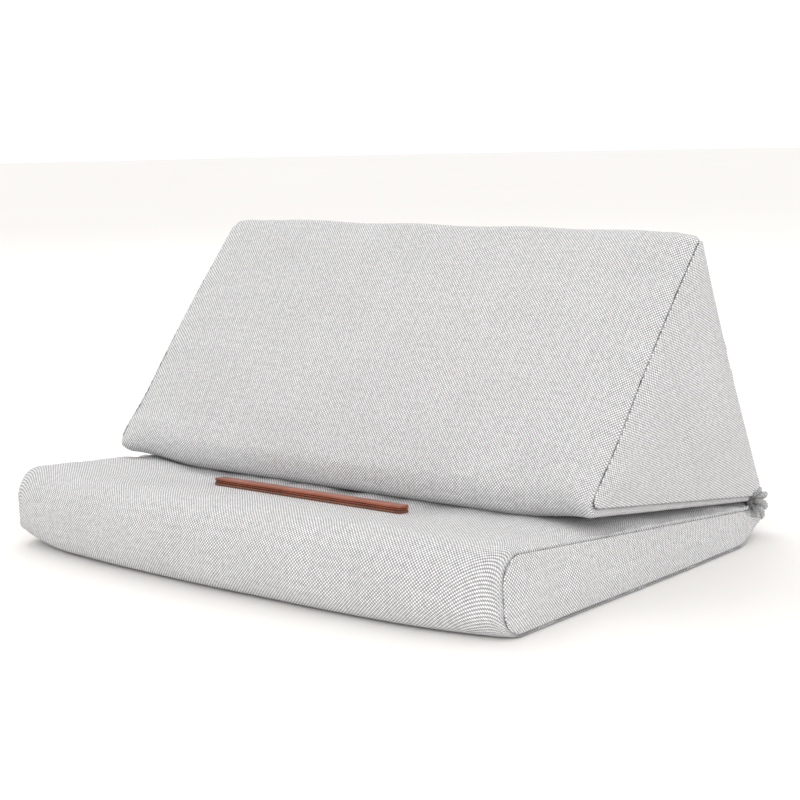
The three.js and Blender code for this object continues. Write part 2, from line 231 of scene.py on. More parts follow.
class Outline:
    """How many steps an outline has in each corner's arc and on each side. A side with three counts has a
    zip slot between its first and last stretch."""

    def __init__(self, corners_at, arcs, sides, rise, reference_side):
        self.corners_at = corners_at
        self.arcs = arcs
        self.sides = sides
        self.rise = rise
        self.zip_side = [len(counts) for counts in sides].index(3)
        before, slot, _ = sides[self.zip_side]
        self.start = self.first_on(self.zip_side) + before + slot // 2
        self.size = sum(arcs) + len(arcs) + sum(sum(counts) - 1 for counts in sides)
        reference = self.first_on(reference_side) + sum(sides[reference_side]) // 2
        self.reference = (reference - self.start) % self.size
        self.slot = (self.size - slot // 2, slot - slot // 2)

    def first_on(self, side):
        """Index of the point where a side leaves its arc, before the outline is made to start at the zip."""
        arcs = sum(self.arcs[: side + 1]) + side
        return arcs + sum(sum(counts) - 1 for counts in self.sides[:side])

    def stops(self, side, first, last):
        """Where a side's stretches begin and end, as distances along it."""
        counts = self.sides[side]
        if len(counts) == 1:
            return [first, last]
        low = max(self.rise - ZIP_SLOT_HALF, first + SHORTEST_STEP * counts[0])
        high = max(self.rise + ZIP_SLOT_HALF, low + SHORTEST_STEP * counts[1])
        return [first, low, min(high, last - SHORTEST_STEP * counts[2]), last]

    def points(self, x, growth=0.0):
        """The outline at x, as (y, z) from the middle of the zip round, moved outward by growth."""
        corners = grown(self.corners_at(x), growth)
        places = corners[:, :2]
        sides = np.roll(places, -1, axis=0) - places
        lengths = np.linalg.norm(sides, axis=1)
        on = sides / lengths[:, None]
        back = -np.roll(on, 1, axis=0)
        half = np.arccos(np.sum(back * on, axis=1)) / 2
        reach = corners[:, 2] / np.tan(half)
        made = []
        for i, corner in enumerate(places):
            centre = corner + unit(back[i] + on[i]) * corners[i, 2] / math.sin(half[i])
            spoke = corner + back[i] * reach[i] - centre
            made.append(centre + turned(spoke, np.linspace(0, math.pi - 2 * half[i], self.arcs[i] + 1)))
            stops = self.stops(i, reach[i], lengths[i] - reach[(i + 1) % len(places)])
            stretches = zip(stops, stops[1:], self.sides[i])
            steps = np.concatenate([np.linspace(a, b, n + 1)[1:] for a, b, n in stretches])[:-1]
            outward = np.array([on[i, 1], -on[i, 0]])
            bow = corners[i, 3] * np.sin(math.pi * steps / lengths[i])
            made.append(corner + on[i] * steps[:, None] + outward * bow[:, None])
        return np.roll(np.concatenate(made), -self.start, axis=0)


# ---- meshes ----
def placed(name, data):
    """A new object in the scene."""
    obj = bpy.data.objects.new(name, data)
    bpy.context.scene.collection.objects.link(obj)
    return obj


def mesh_object(name, points, faces, uv=None, painted_shade=None):
    """A smooth mesh from points in millimetres. uv holds a weave coordinate for each face corner, and the
    last argument the painted shade of each point.
    """
    mesh = bpy.data.meshes.new(name)
    mesh.from_pydata((np.asarray(points) * MM).tolist(), [], [list(map(int, face)) for face in faces])
    mesh.polygons.foreach_set("use_smooth", [True] * len(mesh.polygons))
    if uv is not None:
        layer = mesh.uv_layers.new(name="weave")
        layer.data.foreach_set("uv", np.asarray(uv, np.float32).ravel())
    # painted shade, a share from 0 to 1 for each point, which the weave material turns into darker colour
    if painted_shade is not None:
        made = mesh.attributes.new("painted_shade", "FLOAT", "POINT")
        made.data.foreach_set("value", np.asarray(painted_shade, np.float32))
    mesh.update()
    return placed(name, mesh)


def dress(obj, material, body, nodes=()):
    """Gives a piece its material, the body it rides on and the CAD nodes it stands for."""
    obj.data.materials.clear()
    obj.data.materials.append(material)
    if body:
        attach(obj, body)
    if nodes:
        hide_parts(*nodes)
    return obj


def thicken(obj, thickness):
    solid = obj.modifiers.new("cloth_thickness", "SOLIDIFY")
    solid.thickness = thickness * MM
    solid.offset = -1
    solid.use_even_offset = False


def soften_edges(obj, width, segments=3):
    bevel = obj.modifiers.new("worn_edges", "BEVEL")
    bevel.width = width * MM
    bevel.segments = segments
    bevel.limit_method = "ANGLE"
    bevel.angle_limit = math.radians(35)
    bevel.harden_normals = False


def lattice_quads(rows, columns, closed=True):
    """The quads of a lattice of points, row by row. The last column of a closed one joins its first."""
    i, j = np.meshgrid(np.arange(rows - 1), np.arange(columns if closed else columns - 1), indexing="ij")
    after = (j + 1) % columns
    low, high = i * columns, (i + 1) * columns
    return np.stack([low + j, low + after, high + after, high + j], -1)


def at_corners(grid):
    """What a lattice holds at the four corners of each of its quads."""
    return np.stack([grid[:-1, :-1], grid[:-1, 1:], grid[1:, 1:], grid[1:, :-1]], 2)


class Waves:
    """A smooth random field: a sum of sine waves with lengths between two limits."""

    def __init__(self, shortest, longest, count=14):
        lengths = np.exp(RNG.uniform(math.log(shortest), math.log(longest), count))
        turns = RNG.uniform(0, 2 * math.pi, count)
        self.vectors = np.column_stack([np.cos(turns), np.sin(turns)]) * (2 * math.pi / lengths)[:, None]
        self.phases = RNG.uniform(0, 2 * math.pi, count)

    def at(self, a, b=0.0):
        a, b = np.broadcast_arrays(np.asarray(a, float), np.asarray(b, float))
        total = np.zeros(a.shape)
        for (ka, kb), phase in zip(self.vectors, self.phases):
            total += np.sin(ka * a + kb * b + phase)
        return total / math.sqrt(len(self.phases))


# ---- cloth simulation ----
SIM_FRAMES = 20
SIM_SLACK = 0.012  # how much longer than its cut the cloth is
SIM_CLOTH = {"quality": 6, "mass": 0.2, "tension_stiffness": 40, "compression_stiffness": 15,
             "shear_stiffness": 10, "bending_stiffness": 0.3, "air_damping": 2, "shrink_min": -SIM_SLACK,
             "use_pressure": True, "uniform_pressure_force": 4.0, "vertex_group_mass": "held"}


def inflated(points, faces, held):
    """Where the points go when air pressure pushes on the cloth. The seams and the table keep the held ones
    still."""
    scene = bpy.context.scene
    obj = mesh_object("pressure_trial", points, faces)
    pins = obj.vertex_groups.new(name="held")
    pins.add([int(i) for i in held], 1.0, "REPLACE")
    cloth = obj.modifiers.new("pressure", "CLOTH")
    for key, value in SIM_CLOTH.items():
        setattr(cloth.settings, key, value)
    cloth.settings.effector_weights.gravity = 0
    cloth.collision_settings.use_collision = False
    for step in range(1, SIM_FRAMES + 1):
        scene.frame_set(step)
    shape = obj.evaluated_get(bpy.context.evaluated_depsgraph_get()).to_mesh()
    result = np.empty(len(shape.vertices) * 3)
    shape.vertices.foreach_get("co", result)
    scene.frame_set(1)
    bpy.data.objects.remove(obj)
    return result.reshape(-1, 3) / MM


def limited(moves, limit):
    """The moves, all scaled down alike until the biggest is within a limit."""
    return moves * min(1.0, limit / max(np.linalg.norm(moves, axis=-1).max(), 1e-9))


def capped(moves, limit):
    """The moves, with their lengths held softly under a limit."""
    size = np.linalg.norm(moves, axis=-1, keepdims=True)
    return moves * (limit * np.tanh(size / limit) / np.maximum(size, 1e-9))


def blurred(field, passes):
    """A lattice field smoothed along both ways. Its second way is closed."""
    for _ in range(passes):
        field = (np.roll(field, 1, axis=1) + 2 * field + np.roll(field, -1, axis=1)) / 4
        inner = (field[:-2] + 2 * field[1:-1] + field[2:]) / 4
        field = np.concatenate([field[:1], inner, field[-1:]])
    return field


# ---- shaders ----
class Shader:
    """A node material, built a node at a time. Inputs are given by name or index."""

    def __init__(self, name):
        self.material = bpy.data.materials.new(name)
        self.material.use_nodes = True
        self.tree = self.material.node_tree
        self.tree.nodes.clear()

    def add(self, kind, inputs=None, **settings):
        made = self.tree.nodes.new("ShaderNode" + kind)
        for key, value in settings.items():
            setattr(made, key, value)
        for key, value in (inputs or {}).items():
            if isinstance(value, bpy.types.NodeSocket):
                self.tree.links.new(value, made.inputs[key])
            else:
                made.inputs[key].default_value = value
        return made.outputs

    def math(self, operation, *values):
        return self.add("Math", dict(enumerate(values)), operation=operation)[0]

    def times(self, first, second):
        return self.math("MULTIPLY", first, second)

    def plus(self, first, second):
        return self.math("ADD", first, second)

    def object_space(self):
        return self.add("TexCoord")["Object"]

    def remap(self, value, low, high, to_low=0.0, to_high=1.0, smooth=False):
        kind = "SMOOTHSTEP" if smooth else "LINEAR"
        inputs = {0: value, 1: low, 2: high, 3: to_low, 4: to_high}
        return self.add("MapRange", inputs, interpolation_type=kind)[0]

    def mix(self, share, first, second, blend="MIX"):
        inputs = {0: share, 6: first, 7: second}
        return self.add("Mix", inputs, data_type="RGBA", blend_type=blend)[2]

    def noise(self, vector, scale, detail=2.0, roughness=0.5):
        inputs = {"Vector": vector, "Scale": scale, "Detail": detail, "Roughness": roughness}
        return self.add("TexNoise", inputs)[0]

    def stripes(self, vector, scale, distortion, direction):
        inputs = {"Vector": vector, "Scale": scale, "Distortion": distortion}
        return self.add("RGBToBW", {0: self.add("TexWave", inputs, bands_direction=direction)[0]})[0]

    def finish(self, colour, roughness, height, depth, **others):
        """The surface. height is a bump field from 0 to 1, depth its size in metres."""
        normal = self.add("Bump", {"Height": height, "Distance": depth, "Strength": 1.0})[0]
        inputs = {"Base Color": colour, "Roughness": roughness, "Normal": normal}
        inputs.update({key.replace("_", " "): value for key, value in others.items()})
        surface = self.add("BsdfPrincipled", inputs)[0]
        self.add("OutputMaterial", {"Surface": surface})
        return self.material


def srgb(code):
    """A colour as the shader wants it, from six hexadecimal digits."""
    parts = [int(code[i : i + 2], 16) / 255 for i in (0, 2, 4)]
    return tuple(c / 12.92 if c <= 0.04045 else ((c + 0.055) / 1.055) ** 2.4 for c in parts) + (1.0,)


def weave_material(name, light, dark):
    """Plain weave of light warp and grey weft. Its coordinates count threads, and a point attribute of
    painted shade darkens it.
    """
    s = Shader(name)
    uv = s.add("UVMap", uv_map="weave")[0]
    parts = s.add("SeparateXYZ", {0: uv})
    slow = s.remap(s.noise(uv, 0.04, 3.0), 0, 1, -0.45, 0.45)
    fine = s.remap(s.noise(uv, 0.6, 2.0), 0, 1, -0.1, 0.1)
    drift = s.plus(slow, fine)
    u = s.plus(parts[0], drift)
    v = s.math("SUBTRACT", parts[1], drift)
    across = s.math("COSINE", s.times(u, math.pi))
    down = s.math("COSINE", s.times(v, math.pi))
    crossing = s.times(across, down)
    warp = s.remap(crossing, -0.12, 0.12, smooth=True)
    bulge = s.math("POWER", s.math("ABSOLUTE", crossing), 0.5)
    warp_tone = s.add("TexWhiteNoise", {"W": s.math("ROUND", u)}, noise_dimensions="1D")[0]
    weft_tone = s.add("TexWhiteNoise", {"W": s.math("ROUND", v)}, noise_dimensions="1D")[0]
    slubs = s.noise(uv, 0.35, 2.0)
    light_share = s.plus(s.times(warp_tone, 0.14), s.remap(slubs, 0.42, 0.75, 0.0, 0.34))
    dark_share = s.plus(s.times(weft_tone, 0.16), s.remap(slubs, 0.3, 0.6, 0.3, 0.0))
    light_thread = s.mix(light_share, srgb(light), srgb("a7a7a9"))
    dark_thread = s.mix(dark_share, srgb(dark), srgb("c0bfc2"))
    threads = s.mix(warp, dark_thread, light_thread)
    # painted shade in the gaps between threads, and a painted highlight on their crowns
    rounded = s.remap(bulge, 0, 0.85, 0.62, 1.06)
    plies = s.noise(s.add("VectorRotate", {"Vector": uv, "Angle": 0.7}, rotation_type="Z_AXIS")[0], 5.0, 2.0)
    shade = s.times(rounded, s.remap(plies, 0.3, 0.7, 0.93, 1.05))
    # painted shade from the mesh: full shade takes the colour down to 0.3
    painted_shade = s.add("Attribute", attribute_name="painted_shade")[2]
    worn = s.remap(s.noise(uv, 0.02, 3.0), 0.3, 0.7, 0.97, 1.02)
    tone = s.times(s.times(shade, s.remap(painted_shade, 0, 1, 1.0, 0.3)), worn)
    grey = s.add("CombineColor", {0: tone, 1: tone, 2: tone})[0]
    colour = s.mix(1.0, threads, grey, "MULTIPLY")
    fuzz = s.noise(uv, 3.0, 2.0)
    height = s.plus(bulge, s.times(fuzz, 0.3))
    roughness = s.remap(fuzz, 0, 1, 0.82, 0.98)
    return s.finish(colour, roughness, height, 0.0002, Sheen_Weight=0.25, Sheen_Roughness=0.6)


def foam_material():
    s = Shader("foam")
    place = s.object_space()
    cells = s.add("TexVoronoi", {"Vector": place, "Scale": 900.0})[0]
    spots = s.noise(place, 120.0, 3.0)
    colour = s.mix(s.remap(spots, 0.3, 0.7), srgb("ece6cf"), srgb("d9d1b4"))
    return s.finish(colour, s.remap(cells, 0, 1, 0.85, 1.0), cells, 0.0004)


def leather_material(name, face, deep, shine):
    """Vegetable-tanned leather: fine pebbled grain, mottled dye, and darker rubbed edges."""
    s = Shader(name)
    place = s.object_space()
    mottle = s.noise(place, 70.0, 4.0)
    pebble = s.add("TexVoronoi", {"Vector": place, "Scale": 1500.0}, feature="SMOOTH_F1")[0]
    pores = s.noise(place, 2600.0, 2.0)
    edge = s.add("NewGeometry")["Pointiness"]
    colour = s.mix(s.remap(mottle, 0.35, 0.7), srgb(face), srgb(deep))
    colour = s.mix(s.remap(pebble, 0.2, 0.75, 0.0, 0.35), colour, srgb(deep))
    colour = s.mix(s.remap(edge, 0.52, 0.62, 0.0, 0.55), colour, srgb("5a2b19"))
    height = s.plus(pebble, s.times(pores, 0.5))
    roughness = s.remap(mottle, 0.3, 0.7, shine, shine + 0.16)
    return s.finish(colour, roughness, height, 0.00007, Coat_Weight=0.06)


def thread_material(name, light, dark):
    """Twisted sewing thread: slanting plies."""
    s = Shader(name)
    place = s.object_space()
    value = s.stripes(place, 900.0, 1.5, "DIAGONAL")
    colour = s.mix(value, srgb(dark), srgb(light))
    return s.finish(colour, s.remap(value, 0, 1, 0.75, 0.9), value, 0.00005, Sheen_Weight=0.2)


def tape_material():
    """Woven zip tape: fine ribs across its width."""
    s = Shader("zip_tape")
    place = s.object_space()
    value = s.stripes(place, 260.0, 0.4, "X")
    dust = s.noise(place, 900.0, 3.0)
    colour = s.mix(s.times(value, dust), srgb("97979b"), srgb("c6c6ca"))
    return s.finish(colour, s.remap(dust, 0, 1, 0.8, 0.95), value, 0.00012, Sheen_Weight=0.15)


def nylon_material():
    s = Shader("zip_nylon")
    place = s.object_space()
    haze = s.noise(place, 1500.0, 2.0)
    colour = s.mix(haze, srgb("a6a6aa"), srgb("bdbdc1"))
    inputs = {"Subsurface_Weight": 0.1, "Subsurface_Scale": 0.0005}
    return s.finish(colour, s.remap(haze, 0, 1, 0.32, 0.5), haze, 0.00002, **inputs)


def metal_material():
    """Plated die-cast metal: brushed along X, and dulled by handling."""
    s = Shader("zip_metal")
    place = s.object_space()
    stretched = s.add("Mapping", {"Vector": place, "Scale": (90.0, 2200.0, 2200.0)})[0]
    brushing = s.noise(stretched, 1.0, 3.0)
    handling = s.noise(place, 260.0, 3.0)
    colour = s.mix(s.remap(handling, 0.35, 0.7), srgb("bcbcbe"), srgb("abaaad"))
    rough = s.plus(s.remap(handling, 0.3, 0.7, 0.2, 0.38), s.times(brushing, 0.12))
    return s.finish(colour, rough, brushing, 0.00001, Metallic=1.0)


def floor_material():
    s = Shader("floor")
    place = s.object_space()
    soft = s.noise(place, 1.5, 2.0)
    colour = s.mix(soft, srgb("e9e7e5"), srgb("ecebe9"))
    return s.finish(colour, 0.6, soft, 0.00001, Specular_IOR_Level=0.2)


COVER = weave_material("cover_weave", "f2f2f2", "868589")
FOAM = foam_material()
LEATHER_TAN = leather_material("leather_tan", "9e5b43", "84452f", 0.5)
LEATHER_RED = leather_material("leather_red", "8c4c36", "6e3523", 0.55)
LEATHER_OCHRE = leather_material("leather_ochre", "7c4c33", "603624", 0.55)
SEAM_THREAD = thread_material("seam_thread", "c9c8ca", "8f8e91")
STOP_THREAD = thread_material("stop_thread", "a8785a", "74503a")
TAPE = tape_material()
NYLON = nylon_material()
METAL = metal_material()


# ---- cushions ----
BASE_OUTLINE = Outline(base_corners, arcs=(12, 6, 6, 14), sides=((60,), (2, 4, 2), (96,), (8,)),
                       rise=BASE_ZIP_RISE, reference_side=2)
WEDGE_OUTLINE = Outline(wedge_corners, arcs=(12, 8, 10), sides=((44,), (12, 4, 46), (66,)),
                        rise=WEDGE_ZIP_RISE, reference_side=2)
STATIONS_TO_SLOT = 52
STATIONS_TO_ROLL = 15


def mirrored(half):
    """Stations of the whole width from those of its right half. A station is (x, depth below the surface)."""
    return [(-x, depth) for x, depth in half[:0:-1]] + half


def wrap_stations():
    flat_end = HALF_WIDTH - WRAP_ROLL[0][0]
    inner = np.linspace(0, ZIP_SLOT_END, STATIONS_TO_SLOT + 1)
    outer = flat_end - (flat_end - ZIP_SLOT_END) * np.linspace(1, 0, STATIONS_TO_ROLL + 1)[1:-1] ** 1.5
    half = [(x, 0.0) for x in np.concatenate([inner, outer])]
    return mirrored(half + [(HALF_WIDTH - inset, depth) for inset, depth in WRAP_ROLL])


def lattice(outline, stations):
    """Points of a cushion's surface: a row for each station, each row closed round the section."""
    return np.array([at_x(x, outline.points(x, -depth)) for x, depth in stations])


def lattice_normals(points):
    along = np.gradient(points, axis=0)
    around = np.roll(points, -1, axis=1) - np.roll(points, 1, axis=1)
    return unit(np.cross(around, along))


def arc_lengths(points, reference):
    """How far each point is round its section from the reference column, with the closing column added."""
    closed = np.concatenate([points, points[:, :1]], axis=1)
    lengths = np.stack([run_lengths(section) for section in closed[..., 1:]])
    return lengths - lengths[:, reference : reference + 1]


def wrap_threads(points, lengths):
    """Thread counts over the wrap: along X, and round the section."""
    x = points[:, :1, 0] + 0 * lengths
    return np.stack([x, lengths], -1) / THREAD_PITCH


def slot_mask(outline, xs):
    """False for the quads inside the zip slot."""
    middle = (xs[:-1] + xs[1:]) / 2
    open_rows = np.abs(middle) < ZIP_SLOT_END
    columns = np.zeros(outline.size, bool)
    columns[outline.slot[0] :] = True
    columns[: outline.slot[1]] = True
    return ~(open_rows[:, None] & columns[None, :])


STOP_LOW, STOP_HIGH = box_mm("stop_bottom_leather")
STOP_SINK = 1.7  # how far its stitches pull the stop down into the cushion


def near_stop(points, reach):
    """1 under the leather stop, falling to 0 at a reach from it."""
    beyond = np.maximum(STOP_LOW - points, points - STOP_HIGH)[..., :2]
    distance = np.linalg.norm(np.maximum(beyond, 0), axis=-1)
    on_top = ramp(points[..., 2] - base_top(points[..., 1]), -8, 6)
    return on_top * (1 - ramp(distance, 1.5, reach))


def away_from(place, points):
    """0 at a zip's place, and 1 past its reach."""
    return ramp(np.linalg.norm(points[..., 1:] - place, axis=-1), 5.0, 14.0)


def refined(moves, rows, columns, shape):
    """A field known at some rows and columns of a closed lattice, over the whole of it."""
    partly = np.empty((len(rows), *shape[1:]))
    whole = np.empty(shape)
    for axis in range(shape[2]):
        for i in range(len(rows)):
            partly[i, :, axis] = np.interp(np.arange(shape[1]), columns, moves[i, :, axis], period=shape[1])
        for j in range(shape[1]):
            whole[:, j, axis] = np.interp(np.arange(shape[0]), rows, partly[:, j, axis])
    return whole


SIM_STRIDE = 3
SIM_ROUGHNESS = 0.15  # of the cloth before it is blown up, so that it wrinkles
WRINKLE_LIMIT = 0.9


def simulate_wrap(points, normals, still, puff):
    """Moves of the wrap's lattice under pressure, worked out on some of its rows and columns. The foam holds
    back the overall swelling, so it is scaled to puff, and the wrinkles keep their size."""
    rows = np.unique(np.append(np.arange(0, len(points), SIM_STRIDE), len(points) - 1))
    columns = np.arange(0, points.shape[1], SIM_STRIDE)
    some = np.ix_(rows, columns)
    coarse = points[some]
    n, m = coarse.shape[:2]
    start = coarse + normals[some] * (SIM_ROUGHNESS * RNG.standard_normal((n, m)))[..., None]
    held = still[some]
    held[[0, -1]] = True
    result = inflated(start.reshape(-1, 3), lattice_quads(n, m).reshape(-1, 4), np.flatnonzero(held))
    whole = blurred(refined(result.reshape(n, m, 3) - coarse, rows, columns, points.shape), 3)
    broad = blurred(whole, 40)
    return limited(broad, puff) + capped(whole - broad, WRINKLE_LIMIT)


# The gathered hinge pulls folds out of the base's rear corners. They fan out from this point.
FAN_CENTRE = (117.0, 17.0)
FAN_FOLDS = 11.0  # in a full turn
FAN_REACH = 15.0


def fan_folds(y, z):
    """Height of the folds that fan out from the hinge's end across the base's rear corner."""
    dy, dz = y - FAN_CENTRE[0], z - FAN_CENTRE[1]
    distance = np.hypot(dy, dz)
    size = ramp(distance, 0, 4.0) * bell(distance, FAN_REACH)
    return np.cos(FAN_FOLDS * np.arctan2(dz, dy) + 0.9) * size * ramp(y, 96.0, 12.0)


def foot_shade(points):
    """Painted shade: 1 along the foot of the front and of the ends, where the cloth turns under on to the
    table.
    """
    x, y, z = np.moveaxis(points, -1, 0)
    front = (1 - ramp(y, BASE_FRONT, 30)) * (1 - ramp(z, 0, 1.3))
    ends = ramp(np.abs(x), 135, 10) * (1 - ramp(z, 0, 0.7))
    return np.maximum(front, ends)


# The covers' waves: height, shortest and longest length, and the reach of those that run out of an end seam.
WRAP_WANDER = (0.4, 45, 120)
WRAP_DRAG = (0.34, 9, 20, 13)
WRAP_PUCKER = (0.26, 4.5, 9, 3.5)
PANEL_WANDER = (0.35, 26, 80)
PANEL_DRAG = (0.3, 7, 16, 8)


def seam_folds(kind, along, other, from_seam):
    height, shortest, longest, reach = kind
    return height * Waves(shortest, longest).at(along, other) * np.exp(-from_seam / reach)


def wrap_height(points, lengths, calm, under):
    """How far the wrap's own waves and folds lift it off its section, before any simulation."""
    x, s = points[..., 0], lengths[:, :-1]
    from_seam = HALF_WIDTH - np.abs(x)
    height, shortest, longest = WRAP_WANDER
    wander = height * Waves(shortest, longest).at(x, s)
    drag = seam_folds(WRAP_DRAG, s, np.sign(x) * 300, from_seam)
    pucker = seam_folds(WRAP_PUCKER, s, np.sign(x) * 300, from_seam)
    return (wander * ramp(from_seam, 0, 3.0) + drag + pucker) * calm * (1 - 0.9 * under)


def wrap(prefix, outline, zip_place, puff, folds, swell):
    """The wrapped cover: top, front, rear and underside in one panel, open along its zip."""
    stations = wrap_stations()
    points = lattice(outline, stations)
    normals = lattice_normals(points)
    lengths = arc_lengths(points, outline.reference)
    calm = away_from(zip_place, points)
    if prefix == "base":
        calm = calm * (1 - near_stop(points, 12.0))
    under = ramp(-normals[..., 2], 0.48, 0.4)  # 1 where the cloth faces down
    height = wrap_height(points, lengths, calm, under) + folds(points)
    moves = normals * height[..., None]
    still = (under > 0.5) | (calm < 0.6)
    share = ramp(HALF_WIDTH - np.abs(points[..., 0]), 0, 3.0) * calm * (1 - under)
    moves += simulate_wrap(points, normals, still, puff) * share[..., None]
    shaped = swell(points + moves)
    xs, depths = np.transpose(stations)
    # painted shade: darker where the wrap's edge rolls in to an end seam, along the base's foot on the table,
    # and in the wedge's tuck beside each end panel's tip
    shade = foot_shade(shaped) if prefix == "base" else 0.9 * ridge_tuck(points)
    painted_shade = np.maximum(ramp(depths, 0.3, 0.8)[:, None], shade).ravel()
    kept = slot_mask(outline, xs)
    faces = lattice_quads(len(shaped), outline.size)[kept]
    uv = at_corners(wrap_threads(points, lengths))[kept]
    obj = mesh_object(f"{prefix}_wrap_cloth", shaped.reshape(-1, 3), faces, uv, painted_shade)
    drop_loose_points(obj)
    cover(obj, prefix, "wrap")


def cover(obj, prefix, part):
    """Makes a mesh the cushion's padded cloth, in place of its CAD part."""
    thicken(obj, CLOTH)
    dress(obj, COVER, prefix, [f"{prefix}_{part}"])


def drop_loose_points(obj):
    bm = bmesh.new()
    bm.from_mesh(obj.data)
    bmesh.ops.delete(bm, geom=[v for v in bm.verts if not v.link_faces], context="VERTS")
    bm.to_mesh(obj.data)
    bm.free()


def edge_distance(points, ring):
    """How far each point is from a closed ring."""
    best = np.full(len(points), np.inf)
    for start, step in zip(ring, np.roll(ring, -1, axis=0) - ring):
        t = np.clip(((points - start) @ step) / (step @ step), 0, 1)
        best = np.minimum(best, np.linalg.norm(points - start - t[:, None] * step, axis=1))
    return best


def inside(points, ring):
    crossings = np.zeros(len(points), int)
    for (y0, z0), (y1, z1) in zip(ring, np.roll(ring, -1, axis=0)):
        if z0 == z1:
            continue
        spans = (points[:, 1] > min(z0, z1)) & (points[:, 1] <= max(z0, z1))
        at = y0 + (points[:, 1] - z0) * (y1 - y0) / (z1 - z0)
        crossings += spans & (at > points[:, 0])
    return crossings % 2 == 1


PANEL_GRID = 2.4  # size of an end panel's triangles
PANEL_DOME = 9.0  # how far in from its edge an end panel's dome rises
PANEL_HELD = 1.2  # how far in from its seam the simulation holds it
PANEL_PUFF = 0.6  # what the simulation may add to its bulge, as a share
SIDE_NAMES = {-1: "left", 1: "right"}


def panel_fill(ring):
    """Points and triangles on an even staggered grid that fill a ring. The ring's own points come first."""
    low, high = ring.min(axis=0), ring.max(axis=0)
    rows = np.arange(low[1], high[1], PANEL_GRID * 0.866)
    grid = []
    for k, z in enumerate(rows):
        ys = np.arange(low[0] + (k % 2) * PANEL_GRID / 2, high[0], PANEL_GRID)
        grid.append(np.column_stack([ys, np.full(len(ys), z)]))
    grid = np.concatenate(grid)
    grid = grid[inside(grid, ring)]
    grid = grid[edge_distance(grid, ring) > PANEL_GRID * 0.6]
    points = np.concatenate([ring, grid])
    count = len(ring)
    edges = [(k, (k + 1) % count) for k in range(count)]
    made, _, triangles, *_ = delaunay_2d_cdt(points.tolist(), edges, [], 1, 1e-5)
    return np.array([tuple(v) for v in made]), triangles


def with_waves(out, flat, depth, side):
    """How far out an end panel stands once its own waves and folds are on it."""
    y, z = flat.T
    height, shortest, longest = PANEL_WANDER
    wander = height * Waves(shortest, longest).at(y, z + side * 500) * ramp(depth, 0, 9)
    run = np.arctan2(z - z.mean(), y - y.mean()) * 60
    return out + wander + seam_folds(PANEL_DRAG, run + side * 900, 0.0, depth) * ramp(depth, 0, 2.5)


PANEL_SEAM_SHADES = (1.0, 0.8, 0.3)  # painted shade on the panel's outermost rings, where they roll in to the seam


def panel(prefix, outline, side, grain, bulge, shape, swell):
    """One end panel of a cushion: its edge rolls in to the seam, and its face swells."""
    rings = [outline.points(HALF_WIDTH, -depth) for _, depth in PANEL_ROLL]
    count = outline.size
    inner = len(rings) - 1
    filled, triangles = panel_fill(rings[inner])
    flat = np.concatenate(rings[:inner] + [filled])
    rolled = np.repeat([out for out, _ in PANEL_ROLL[:inner]], count)
    dome = bulge * (1 - np.exp(-edge_distance(filled, rings[inner]) / PANEL_DOME)) + PANEL_ROLL[inner][0]
    depth = edge_distance(flat, rings[0]) + 0.01
    out = with_waves(np.concatenate([rolled, dome]), flat, depth, side) + shape(flat, depth)
    faces = lattice_quads(inner + 1, count).reshape(-1, 4).tolist()
    faces += [[inner * count + v for v in triangle] for triangle in triangles]
    points = np.column_stack([side * (HALF_WIDTH + out), flat])
    if side < 0:
        faces = [face[::-1] for face in faces]
    moves = inflated(points, faces, np.flatnonzero(depth < PANEL_HELD)) - points
    points = points + limited(moves, bulge * PANEL_PUFF) * ramp(depth, 0, 3.0)[:, None]
    threads = turned(flat, -grain) / THREAD_PITCH
    uv = np.concatenate([threads[face] for face in faces])
    # painted shade on the rings that roll in to the seam
    painted_shade = np.zeros(len(flat))
    painted_shade[: len(PANEL_SEAM_SHADES) * count] = np.repeat(PANEL_SEAM_SHADES, count)
    name = SIDE_NAMES[side]
    obj = mesh_object(f"{prefix}_{name}_end_cloth", swell(points), faces, uv, painted_shade)
    cover(obj, prefix, f"{name}_end_panel")


FOAM_SINK = 3.0  # below the cover's section
FOAM_END = 5.0  # from the end seam
FOAM_ROUNDING = ((3.0, 0.0), (1.6, 0.4), (0.6, 1.3), (0.0, 3.0))  # distance from the block's end, sink there


def foam(prefix, outline, swell):
    """The foam block inside a cover: the same sections, smaller, with rounded ends."""
    end = HALF_WIDTH - FOAM_END
    half = [(x, FOAM_SINK) for x in np.linspace(0, end - FOAM_ROUNDING[0][0], 24)]
    half += [(end - inset, FOAM_SINK + sink) for inset, sink in FOAM_ROUNDING[1:]]
    rows = lattice(outline, mirrored(half))
    count = outline.size
    faces = lattice_quads(len(rows), count).reshape(-1, 4).tolist()
    points = rows.reshape(-1, 3)
    for row in (0, len(rows) - 1):
        filled, triangles = panel_fill(rows[row, :, 1:])
        new = len(points) - count
        for triangle in triangles:
            corners = [v + (row * count if v < count else new) for v in triangle]
            faces.append(corners if row else corners[::-1])
        points = np.concatenate([points, at_x(rows[row, 0, 0], filled[count:])])
    obj = mesh_object(f"{prefix}_foam_block", swell(points), faces)
    dress(obj, FOAM, prefix, [f"{prefix}_foam"])


# ---- stitches ----
SIDEWAYS = (0.31, 0.52, 0.8)  # any way that no stitch runs
STITCH_SIDES = 6
STITCH_RINGS = ((-0.42, 0.7), (-0.22, 1.0), (0.22, 1.0), (0.42, 0.7))  # place along the stitch, width there


